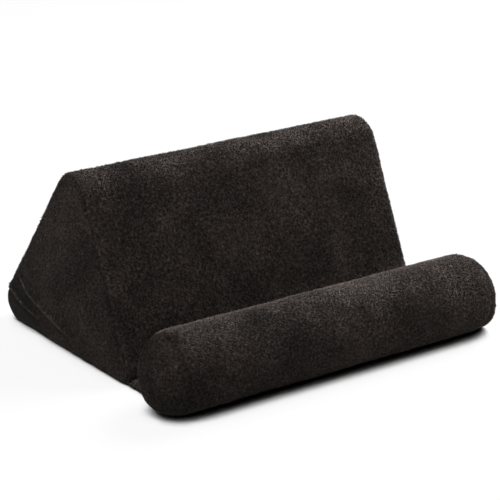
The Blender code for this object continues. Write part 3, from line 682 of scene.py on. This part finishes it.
def pileTree():
    sizes = (
        "Spacing", "Length", "Width", "Lean", "Nap size", "Nap turn", "Stray", "Clump size", "Floor clear", "Cells")
    tree, add, given = newTree("plushPileTree", {**{name: "Float" for name in sizes}, "Nap": "Vector", "Seed": "Int"})
    here = add("GeometryNodeInputPosition")
    heightHere = add("ShaderNodeSeparateXYZ", {0: here}).outputs["Z"]

    # one tuft, a closed three-sided spike that knows its tip and its place in the bake
    spike = add("GeometryNodeMeshCone", {
        "Vertices": 3, "Radius Top": 0.0, "Depth": given["Length"],
        "Radius Bottom": add(maths, {0: given["Width"], 1: 0.5}, "MULTIPLY")})
    marked = add("GeometryNodeStoreNamedAttribute", {
        "Geometry": spike, "Name": "tip",
        "Value": add(maths, {0: heightHere, 1: given["Length"]}, "DIVIDE")},
        data_type="FLOAT", domain="POINT")
    facingZ = add("ShaderNodeSeparateXYZ", {0: add("GeometryNodeInputNormal")}).outputs["Z"]
    under = add(maths, {0: facingZ, 1: -0.5}, "LESS_THAN")
    shrink = add(maths, {0: under, 1: -0.35, 2: 0.5}, "MULTIPLY_ADD")
    local = add(vectors, {0: here, "Scale": add(maths, {0: shrink, 1: given["Width"]}, "DIVIDE")}, "SCALE")
    beside = add(vectors, {0: (0.47, 0.0, 0.0), "Scale": under}, "SCALE")
    cellCentre = add(vectors, {0: (0.36, 0.5, 0.0), 1: beside}, "ADD")
    mapped = add("GeometryNodeStoreNamedAttribute", {
        "Geometry": marked, "Name": "OFBake", "Value": add(vectors, {0: local, 1: cellCentre}, "ADD")},
        data_type="FLOAT2", domain="CORNER")

    # where the tufts stand
    area = add(maths, {0: given["Spacing"], 1: 2.0}, "POWER")
    points = add("GeometryNodeDistributePointsOnFaces", {
        "Mesh": given["Geometry"], "Seed": given["Seed"],
        "Distance Min": add(maths, {0: given["Spacing"], 1: 0.72}, "MULTIPLY"),
        "Density Max": add(maths, {0: 1.55, 1: area}, "DIVIDE")}, distribute_method="POISSON")
    low = add(maths, {0: heightHere, 1: given["Floor clear"]}, "LESS_THAN")
    clear = add("GeometryNodeDeleteGeometry", {"Geometry": points, "Selection": low}, domain="POINT")
    normal = points.outputs["Normal"]

    # the way each tuft lies: the nap, turned slowly over the cloth, then by the clump and at random
    nap, waves = given["Nap"], []
    for size, offset, turn in (("Nap size", (3.1, 0.7, 5.2), "Nap turn"), ("Clump size", (0.4, 8.3, 1.9), "Stray")):
        wave = add(noiseTexture, {
            "Vector": add(vectors, {0: here, 1: offset}, "ADD"), "Detail": 1.0,
            "Scale": add(maths, {0: 1.0, 1: given[size]}, "DIVIDE")})
        swing = add(vectors, {0: wave.outputs["Color"], 1: (0.5, 0.5, 0.5)}, "SUBTRACT")
        much = add(maths, {0: given[turn], 1: 4.0}, "MULTIPLY")
        turnedNap = add(vectors, {0: swing, "Scale": much}, "SCALE")
        nap = add(vectors, {0: nap, 1: turnedNap}, "ADD")
        waves.append(wave)
    stray = add("FunctionNodeRandomValue", {
        "Min": (-0.5, -0.5, -0.5), "Max": (0.5, 0.5, 0.5), "Seed": 11}, data_type="FLOAT_VECTOR")
    stray = add(vectors, {0: stray, "Scale": given["Stray"]}, "SCALE")
    nap = add(vectors, {0: nap, 1: stray}, "ADD")
    facing = add(vectors, {0: nap, 1: normal}, "DOT_PRODUCT").outputs["Value"]
    along = add(vectors, {0: normal, "Scale": facing}, "SCALE")
    flat = add(vectors, {0: add(vectors, {0: nap, 1: along}, "SUBTRACT")}, "NORMALIZE")
    clumped = add(maths, {0: waves[1], 1: 0.5}, "SUBTRACT")
    lean = add(maths, {0: clumped, 1: 0.9, 2: given["Lean"]}, "MULTIPLY_ADD")
    upward = add(vectors, {0: normal, "Scale": add(maths, {0: lean}, "COSINE")}, "SCALE")
    sideways = add(vectors, {0: flat, "Scale": add(maths, {0: lean}, "SINE")}, "SCALE")
    way = add(vectors, {0: upward, 1: sideways}, "ADD")
    spin = add("FunctionNodeRandomValue", {3: 6.2832, "Seed": 23}, data_type="FLOAT").outputs[1]
    rotation = add("FunctionNodeRotateRotation", {
        "Rotation": add("FunctionNodeAlignRotationToVector", {"Vector": way}, axis="Z"),
        "Rotate By": add("FunctionNodeEulerToRotation", {
            0: add("ShaderNodeCombineXYZ", {"Z": spin})})}, rotation_space="LOCAL")

    # tufts are shorter where the cloth is pressed, and where they would reach the floor
    pressed = add("GeometryNodeInputNamedAttribute", {"Name": "pressed"}, data_type="FLOAT")
    pressed = add(maths, {0: pressed}, "ABSOLUTE")
    kept = add(maths, {0: pressed, 1: -0.75, 2: 1.0}, "MULTIPLY_ADD")
    random = add("FunctionNodeRandomValue", {2: 0.72, 3: 1.18, "Seed": 37}, data_type="FLOAT").outputs[1]
    size = add(maths, {0: random, 1: kept}, "MULTIPLY")
    toFloor = add(maths, {0: heightHere, 1: given["Length"]}, "DIVIDE")
    size = add(maths, {0: size, 1: toFloor}, "MINIMUM")

    # each tuft has a cell of its own in the bake
    index = add("GeometryNodeInputIndex")
    row = add(maths, {0: add(maths, {0: index, 1: given["Cells"]}, "DIVIDE")}, "FLOOR")
    before = add(maths, {0: row, 1: given["Cells"]}, "MULTIPLY")
    column = add(maths, {0: index, 1: before}, "SUBTRACT")
    celled = add("GeometryNodeStoreNamedAttribute", {
        "Geometry": clear, "Name": "cell", "Value": add("ShaderNodeCombineXYZ", {"X": column, "Y": row})},
        data_type="FLOAT_VECTOR", domain="POINT")
    planted = add("GeometryNodeInstanceOnPoints", {
        "Points": celled, "Instance": mapped, "Rotation": rotation, "Scale": size})
    real = add("GeometryNodeRealizeInstances", {0: planted})
    bake = add("GeometryNodeInputNamedAttribute", {"Name": "OFBake"}, data_type="FLOAT_VECTOR")
    cell = add("GeometryNodeInputNamedAttribute", {"Name": "cell"}, data_type="FLOAT_VECTOR")
    laid = add(vectors, {
        0: add(vectors, {0: bake, 1: cell}, "ADD"),
        "Scale": add(maths, {0: 1.0, 1: given["Cells"]}, "DIVIDE")}, "SCALE")
    laidOut = add("GeometryNodeStoreNamedAttribute", {
        "Geometry": real, "Name": "OFBake", "Value": laid}, data_type="FLOAT2", domain="CORNER")
    bare = add("GeometryNodeRemoveAttribute", {"Geometry": laidOut, "Name": "cell"})
    endTree(add, bare, given["Material"])
    return tree


pileNodes = pileTree()


def plantPile(name, mesh, nap, seedStep, spacing):
    piece = addPiece(name, mesh)
    grow(piece, pileNodes, {
        "Spacing": spacing * mm, "Length": pile["length"] * mm, "Width": pile["width"] * mm,
        "Lean": math.radians(pile["lean"]), "Nap size": pile["napSize"] * mm, "Nap turn": pile["napTurn"],
        "Stray": pile["stray"], "Clump size": pile["clumpSize"] * mm, "Floor clear": pile["floorClear"] * mm,
        "Nap": nap, "Seed": pile["seed"] + seedStep, "Cells": float(pile["cells"]), "Material": plushPile})
    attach(piece, "cushion")
    print("stage:", name, len(piece.data.polygons) // 4, "tufts")


# The bridge: two layers of plush sewn together, the floor of the groove.
bridge = {
    "halfWidth": 117.0,  # mm
    "low": 0.9,
    "high": 4.1,  # its ground, under the pile
    "rest": 0.7,
    "sagMiddle": 0.7,
    "rounding": (0, 0.6, 1.6, 3.0, 5.0),
    "waveSize": 9.0,
    "waveDepth": 0.35,
    "across": 18,  # spans from the roll to the wedge
    "along": 110,  # points along its straight part
}


def makeBridge():
    heights = np.linspace(bridge["low"], bridge["high"], 5) * mm

    def beside(centre, radius, way):
        reach = radius + bridge["rest"] * mm
        return [np.array([centre[0] + way * math.sqrt(reach**2 - (centre[1] - z) ** 2), z]) for z in heights]

    rollSide, wedgeSide = beside(rollCentre, rollRadius, 1), beside(frontCentre, frontRadius, -1)
    across = bridge["across"]
    top = [rollSide[-1] + (wedgeSide[-1] - rollSide[-1]) * k / across for k in range(1, across)]
    under = [wedgeSide[0] + (rollSide[0] - wedgeSide[0]) * k / across for k in range(1, across)]
    loop = rollSide + top + wedgeSide[::-1] + under
    topRows = range(len(rollSide), len(rollSide) + len(top))
    ends = [bridge["halfWidth"] - r for r in bridge["rounding"]]
    xs = ends + list(np.linspace(ends[-1], -ends[-1], bridge["along"])[1:-1]) + [-x for x in reversed(ends)]
    middle = (bridge["low"] + bridge["high"]) / 2 * mm
    points = []
    for x in xs:
        thin = smooth((bridge["halfWidth"] - abs(x)) / bridge["rounding"][-1] * 0.7 + 0.3)
        for k, (y, z) in enumerate(loop):
            lift = 0.0
            if k in topRows:
                share = (k - topRows[0] + 1) / across
                wave = noise.noise(Vector((x * mm, y, 0.3)) / (bridge["waveSize"] * mm)) * bridge["waveDepth"]
                lift = (wave - bridge["sagMiddle"] * math.sin(math.pi * share)) * mm
            points.append((x * mm, y, middle + (z + lift - middle) * thin, 0.0))
    count = len(loop)
    faces = gridFaces(len(xs), count, closed=True)
    faces += [tuple(range(count)), tuple(range((len(xs) - 1) * count, len(xs) * count))]
    return plushPiece("bridgeStrip", points, faces, Vector((0, (rollSide[0][0] + wedgeSide[0][0]) / 2, middle)))


bridgeStrip = makeBridge()

# The zipper in the back slope. Its own frame has x towards -X, y up the slope and z out of the face.
zipper = {
    "margin": 0.4,  # mm, between the plush's underside and the tape
    "plushWall": 2.0,
    "tapeWidth": 11.0,
    "tapeThick": 0.5,
    "tapeTail": 6.0,
    "tapeSink": 0.06,
    "waveDepth": 0.05,
    "waveSize": 4.1,
    "gap": 1.2,  # between the two coil rows
    "coilWidth": 2.0,
    "coilHeight": 1.8,
    "pitch": 1.25,
    "wire": 0.55,
    "rest": 0.35,
    "stop": 2.4,
    "stitchPitch": 3.4,
    "stitchLength": 2.5,
    "stitchThick": 0.42,
    "stitchOff": 2.4,  # from the slot's edge
    "stitchSpans": 120,
    # the width of the band of foam behind the zipper that is painted black as shade
    "facing": 14.0,
}
tapeTop = -(zipper["plushWall"] + zipper["margin"])
zipperAxes = Matrix(((-1, 0, 0, 0), (0, *upBack, 0), (0, *turned(backNormal), 0),
                     (0, *slopePoint(wedge["slotUp"] * mm), 1))).transposed()
onSlope = math.pi / 2 - backNormal  # how far the tape's pattern is turned about x


# Woven polyester zipper tape: fine ribs along it crossed by the weft, matt black with a faint lustre.
def tapeMaterial():
    made, shader, add = newMaterial("wovenPolyesterTape")
    place = add("ShaderNodeTexCoord").outputs["Object"]
    slope = add("ShaderNodeMapping", {"Vector": place, "Rotation": (onSlope, 0, 0)}, vector_type="TEXTURE")
    weave, across = [
        add("ShaderNodeTexWave", {"Vector": slope, "Scale": 1 / (size * mm) / 6.283, "Distortion": bend},
            bands_direction=way).outputs["Fac"]
        for way, size, bend in (("X", 0.9, 0.6), ("Y", 0.7, 0.3))]
    weave = add(maths, {0: weave, 1: across}, "MULTIPLY")
    ramp = add("ShaderNodeValToRGB", {"Fac": weave})
    for end, tone in enumerate(("#121110", "#2a2827")):
        ramp.color_ramp.elements[end].color = linear(tone)
    setSockets(shader, {
        "Base Color": ramp, "Roughness": 0.8, "Sheen Weight": 0.03,
        "Normal": add("ShaderNodeBump", {"Height": weave, "Strength": 0.6, "Distance": 0.15 * mm})})
    return made


# Nylon monofilament: smooth, faintly translucent black with a soft highlight along each turn.
def nylonMaterial():
    made, shader, add = newMaterial("nylonMonofilament")
    place = add("ShaderNodeTexCoord").outputs["Object"]
    grain = add(noiseTexture, {"Vector": place, "Scale": 1 / (1.5 * mm), "Detail": 2.0})
    tone = add(mix, {"Factor": grain, 6: linear("#151414"), 7: linear("#232120")}, data_type="RGBA")
    rough = add(mapRange, {"Value": grain, "To Min": 0.3, "To Max": 0.46})
    setSockets(shader, {"Base Color": tone.outputs[2], "Roughness": rough, "IOR": 1.53})
    return made


# Die-cast zinc under black lacquer: a thin gloss coat, faint casting ripple, and grey metal where it is rubbed.
def lacqueredZinc():
    made, shader, add = newMaterial("blackLacqueredZinc")
    place = add("ShaderNodeTexCoord").outputs["Object"]
    ripple = add(noiseTexture, {"Vector": place, "Scale": 1 / (1.6 * mm), "Detail": 3.0})
    rub = add(noiseTexture, {"Vector": place, "Scale": 1 / (0.5 * mm), "Detail": 4.0})
    worn = add(mapRange, {"Value": rub, "From Min": 0.63, "From Max": 0.7})
    tone = add(mix, {"Factor": worn, 6: linear("#1c1c1e"), 7: linear("#6d6c6b")}, data_type="RGBA")
    setSockets(shader, {
        "Base Color": tone.outputs[2], "Metallic": worn, "Coat Weight": 0.35, "Coat Roughness": 0.2,
        "Roughness": add(mapRange, {"Value": ripple, "To Min": 0.24, "To Max": 0.42}),
        "Normal": add("ShaderNodeBump", {"Height": ripple, "Strength": 0.25, "Distance": 0.05 * mm})})
    return made


# Open-cell polyurethane foam: pale cream, matt, with cells of about 0.8 mm. Behind the zipper it is
# painted black as shade, so that no foam shows between the coil rows.
def foamMaterial():
    made, shader, add = newMaterial("openCellFoam")
    place = add("ShaderNodeTexCoord").outputs["Object"]
    cells = add("ShaderNodeTexVoronoi", {"Vector": place, "Scale": 1 / (0.8 * mm)})
    tone = add(mix, {"Factor": cells, 6: linear("#b9b09a"), 7: linear("#e3dcc8")}, data_type="RGBA")
    # painted shade: a band of the foam behind the zipper is painted black
    offset = add(vectors, {0: place, 1: tuple(zipperAxes.col[3])[:3]}, "SUBTRACT")
    upSlope = add(vectors, {0: offset, 1: tuple(zipperAxes.col[1])[:3]}, "DOT_PRODUCT").outputs["Value"]
    facing = add(maths, {0: upSlope, 1: 0.0, 2: zipper["facing"] / 2 * mm}, "COMPARE")
    paintedGapShade = add(mix, {"Factor": facing, 6: tone.outputs[2], 7: linear("#141312")}, data_type="RGBA")
    bump = add("ShaderNodeBump", {"Height": cells, "Distance": 0.3 * mm})
    setSockets(shader, {"Base Color": paintedGapShade.outputs[2], "Roughness": 0.92, "Normal": bump})
    return made


# Spun polyester thread, dark charcoal.
def threadMaterial():
    made, shader, add = newMaterial("polyesterThread")
    place = add("ShaderNodeTexCoord").outputs["Object"]
    twist = add(noiseTexture, {"Vector": place, "Scale": 1 / (0.4 * mm), "Detail": 2.0})
    tone = add(mix, {"Factor": twist, 6: linear("#1d1b1a"), 7: linear("#3c3836")}, data_type="RGBA")
    setSockets(shader, {"Base Color": tone.outputs[2], "Roughness": 0.7, "Sheen Weight": 0.2})
    return made


tapeCloth, nylon, zinc, foam, thread = (
    tapeMaterial(), nylonMaterial(), lacqueredZinc(), foamMaterial(), threadMaterial())
solids = {foam: ("wedge_foam", "roll_foam"),
          zinc: ("slider", "pull_tab", "upper_top_stop", "lower_top_stop", "bottom_stop")}
for material, names in solids.items():
    for name in names:
        for slot in bpy.data.objects[name].material_slots:
            slot.material = material


def zipperTape(name, side):
    length = 2 * zipEnd / mm + 2 * zipper["tapeTail"]
    columns, rows = 112, 9
    points = []
    for i in range(columns):
        x = -length / 2 + length * i / (columns - 1)
        for j in range(rows):
            y = side * (zipper["gap"] / 2 + zipper["tapeWidth"] * j / (rows - 1))
            wave = zipper["waveDepth"] * math.sin(x / zipper["waveSize"] + side) * (j / (rows - 1))
            points.append((x * mm, y * mm, (tapeTop - zipper["tapeSink"] + wave) * mm))
    mesh = meshFrom(name, points, gridFaces(columns, rows), tapeCloth)
    mesh.transform(zipperAxes)
    orient(mesh, wedgeMiddle)
    piece = addPiece(name, mesh)
    thicken(piece, zipper["tapeThick"])
    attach(piece, "cushion")
    return piece


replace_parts(zipperTape("upperZipperTape", 1), "upper_zipper_tape")
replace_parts(zipperTape("lowerZipperTape", -1), "lower_zipper_tape")


# One coil row: a monofilament wound in flat turns.
def coilTree():
    tree, add, given = newTree("zipperCoilTree", {
        name: "Float" for name in ("Length", "Pitch", "Width", "Height", "Wire")})
    turns = add("GeometryNodeCurveSpiral", {
        "Resolution": 10, "Start Radius": 0.5, "End Radius": 0.5, "Height": given["Length"],
        "Rotations": add(maths, {0: given["Length"], 1: given["Pitch"]}, "DIVIDE")})
    wide = add(maths, {0: given["Width"], 1: given["Wire"]}, "SUBTRACT")
    high = add(maths, {0: given["Height"], 1: given["Wire"]}, "SUBTRACT")
    flat = add(vectors, {
        0: add("GeometryNodeInputPosition"),
        1: add("ShaderNodeCombineXYZ", {"X": wide, "Y": high, "Z": 1.0})}, "MULTIPLY")
    shaped = add("GeometryNodeSetPosition", {"Geometry": turns, "Position": flat})
    wire = add("GeometryNodeCurvePrimitiveCircle", {
        "Resolution": 5, "Radius": add(maths, {0: given["Wire"], 1: 0.5}, "MULTIPLY")})
    tube = add("GeometryNodeCurveToMesh", {"Curve": shaped, "Profile Curve": wire, "Fill Caps": True})
    endTree(add, add("GeometryNodeRealizeInstances", {0: tube}), given["Material"])
    return tree


coilNodes = coilTree()


def coilRow(name, side):
    piece = addPiece(name, bpy.data.meshes.new(name))
    length = 2 * zipEnd - (zipper["stop"] + 2 * zipper["rest"]) * mm
    grow(piece, coilNodes, {
        "Length": length, "Pitch": zipper["pitch"] * mm, "Width": zipper["coilWidth"] * mm,
        "Height": zipper["coilHeight"] * mm, "Wire": zipper["wire"] * mm, "Material": nylon})
    start = -side * length / 2 + (zipper["stop"] + zipper["rest"]) / 2 * mm
    across = side * (zipper["gap"] + zipper["coilWidth"]) / 2 * mm
    height = (tapeTop + zipper["rest"] + zipper["coilHeight"] / 2) * mm
    lay = Matrix(((0, side, 0, 0), (0, 0, 1, 0), (side, 0, 0, 0), (start, across, height, 1))).transposed()
    piece.data.transform(zipperAxes @ lay)
    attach(piece, "cushion")
    return piece


# Stitches: short threads set along a row of points.
def stitchTree():
    tree, add, given = newTree("stitchTree", {name: "Float" for name in ("Pitch", "Length", "Thickness")})
    evenly = add("GeometryNodeResampleCurve", {
        "Curve": add("GeometryNodeMeshToCurve", {0: given["Geometry"]}), "Length": given["Pitch"]},
        mode="LENGTH")
    ball = add("GeometryNodeMeshUVSphere", {"Segments": 8, "Rings": 6, "Radius": 0.5})
    shape = add("ShaderNodeCombineXYZ", {"X": given["Thickness"], "Y": given["Thickness"], "Z": given["Length"]})
    facing = add("FunctionNodeAlignRotationToVector", {"Vector": add("GeometryNodeInputTangent")}, axis="Z")
    sewn = add("GeometryNodeInstanceOnPoints", {
        "Points": evenly, "Instance": ball, "Rotation": facing, "Scale": shape})
    endTree(add, add("GeometryNodeRealizeInstances", {0: sewn}), given["Material"])
    return tree


stitchNodes = stitchTree()


def stitchRow(name, points):
    mesh = bpy.data.meshes.new(name)
    mesh.from_pydata(points, [(k, k + 1) for k in range(len(points) - 1)], [])
    piece = addPiece(name, mesh)
    grow(piece, stitchNodes, {
        "Pitch": zipper["stitchPitch"] * mm, "Length": zipper["stitchLength"] * mm,
        "Thickness": zipper["stitchThick"] * mm, "Material": thread})
    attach(piece, "cushion")


pieces = {  # the solid that each stands for, and the way its nap lies
    upperPanel: ("upper_panel", (0.2, 0.1, -1.0)),
    basePanel: ("base_panel", (0.2, 0.1, -1.0)),
    leftGusset: ("left_gusset", (0.1, 0.5, -1.0)),
    rightGusset: ("right_gusset", (0.1, 0.5, -1.0)),
    rollSleeve: ("roll_sleeve", (1.0, -0.3, -0.4)),
    leftRollEnd: ("left_roll_end", (0.2, -0.5, -1.0)),
    rightRollEnd: ("right_roll_end", (0.2, -0.5, -1.0)),
    bridgeStrip: ("bridge", (1.0, 0.3, 0.2)),
}
for count, (piece, (node, nap)) in enumerate(pieces.items()):
    fine = piece in (leftGusset, rollSleeve, leftRollEnd, rightRollEnd)
    spacing = pile["fineSpacing"] if fine else pile["spacing"]
    plantPile(piece.name + "Pile", piece.data.copy(), nap, count, spacing)
    if piece is not bridgeStrip:
        thicken(piece, wedge["wall"])
    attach(piece, "cushion")
    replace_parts(piece, node)

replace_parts(coilRow("upperCoilRow", 1), "upper_coil_row")
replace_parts(coilRow("lowerCoilRow", -1), "lower_coil_row")
for name, side in (("upperStitches", 1), ("lowerStitches", -1)):
    at = slopePoint((wedge["slotUp"] + side * (wedge["slotHalf"] + zipper["stitchOff"])) * mm)
    row = []
    for k in range(zipper["stitchSpans"] + 1):
        x = zipEnd * (2 * k / zipper["stitchSpans"] - 1)
        depth = softDepth((x, *at), zipper["stitchOff"] * mm)[0]
        row.append((x, *(at + turned(backNormal) * (depth + 0.1 * mm))))
    stitchRow(name, row)
print("stage: zipper")

# Floor and light.
stage = {
    "paper": 6,  # m, half its width
    "floor": "#f6f6f6",
    "bounce": "#989898",  # what the floor sends back up, darker than what the camera sees
    "shadow": "#17110f",
    "contact": 22.0,  # mm, how far the contact shadow reaches before the paper burns out to white
    "glow": 0.9,
    "world": 0.44,
    "keySize": 0.8,
    "keyPower": 18.5,
    "keyPlace": (0.72, 0.1, 0.75),
    "fillPower": 3.5,
    "fillPlace": (-0.95, 0.12, 0.38),
}


def setFloor():
    made, shader, add = newMaterial("paperFloor")
    path = add("ShaderNodeLightPath").outputs
    seen = add(maths, {0: path["Is Camera Ray"], 1: path["Is Glossy Ray"]}, "MAXIMUM")
    seen = add(maths, {0: seen, 1: path["Is Transmission Ray"]}, "MAXIMUM")
    # painted contact shadow: near the object the paper's colour turns dark, and its white glow fades out
    near = add("ShaderNodeAmbientOcclusion", {"Distance": stage["contact"] * mm}, samples=8).outputs["AO"]
    deep = add(mapRange, {"Value": near, "From Min": 0.26, "From Max": 0.45}, interpolation_type="SMOOTHSTEP")
    paper = add(mix, {"Factor": deep, 6: linear(stage["shadow"]), 7: linear(stage["floor"])}, data_type="RGBA")
    colour = add(mix, {"Factor": seen, 6: linear(stage["bounce"]), 7: paper.outputs[2]}, data_type="RGBA")
    setSockets(shader, {"Base Color": colour.outputs[2], "Roughness": 1.0, "Specular IOR Level": 0.0})
    bright = add(mapRange, {"Value": near, "From Min": 0.4, "From Max": 0.53, "To Max": stage["glow"]},
                 interpolation_type="SMOOTHSTEP")
    share = add(maths, {0: bright, 1: seen}, "MULTIPLY")
    white = add("ShaderNodeEmission", {"Color": (1, 1, 1, 1), "Strength": 1.0})
    mixed = add("ShaderNodeMixShader", {0: share, 1: shader, 2: white})
    setSockets(made.node_tree.nodes["Material Output"], {"Surface": mixed})
    far = stage["paper"]
    corners = [(-far, -far, 0), (far, -far, 0), (far, far, 0), (-far, far, 0)]
    mesh = meshFrom("floor", corners, [(0, 1, 2, 3)], made, False)
    addPiece("floor", mesh)


def setWorld():
    world = bpy.data.worlds.new("softRoom")
    bpy.context.scene.world = world
    world.use_nodes = True
    world.node_tree.nodes.clear()
    add = adderFor(world.node_tree)
    path = add("ShaderNodeLightPath").outputs
    seen = add(maths, {0: path["Is Camera Ray"], 1: path["Is Glossy Ray"]}, "MAXIMUM")
    lit, white = [add("ShaderNodeBackground", {"Color": (1, 1, 1, 1), "Strength": strength})
                  for strength in (stage["world"], 1.0)]
    add("ShaderNodeOutputWorld", {"Surface": add("ShaderNodeMixShader", {0: seen, 1: lit, 2: white})})


def setLamp(name, place, target, size, power):
    lamp = bpy.data.lights.new(name, "AREA")
    lamp.shape = "DISK"
    lamp.size = size
    lamp.energy = power
    made = bpy.data.objects.new(name, lamp)
    bpy.context.collection.objects.link(made)
    made.location = place
    made.rotation_euler = (Vector(target) - Vector(place)).to_track_quat("-Z", "Y").to_euler()


setFloor()
setWorld()
setLamp("keyLamp", stage["keyPlace"], (0, 0, 0.05), stage["keySize"], stage["keyPower"])
setLamp("fillLamp", stage["fillPlace"], (0, 0, 0.05), stage["keySize"], stage["fillPower"])
bpy.context.scene.view_settings.view_transform = "Standard"
print("stage: floor and light")
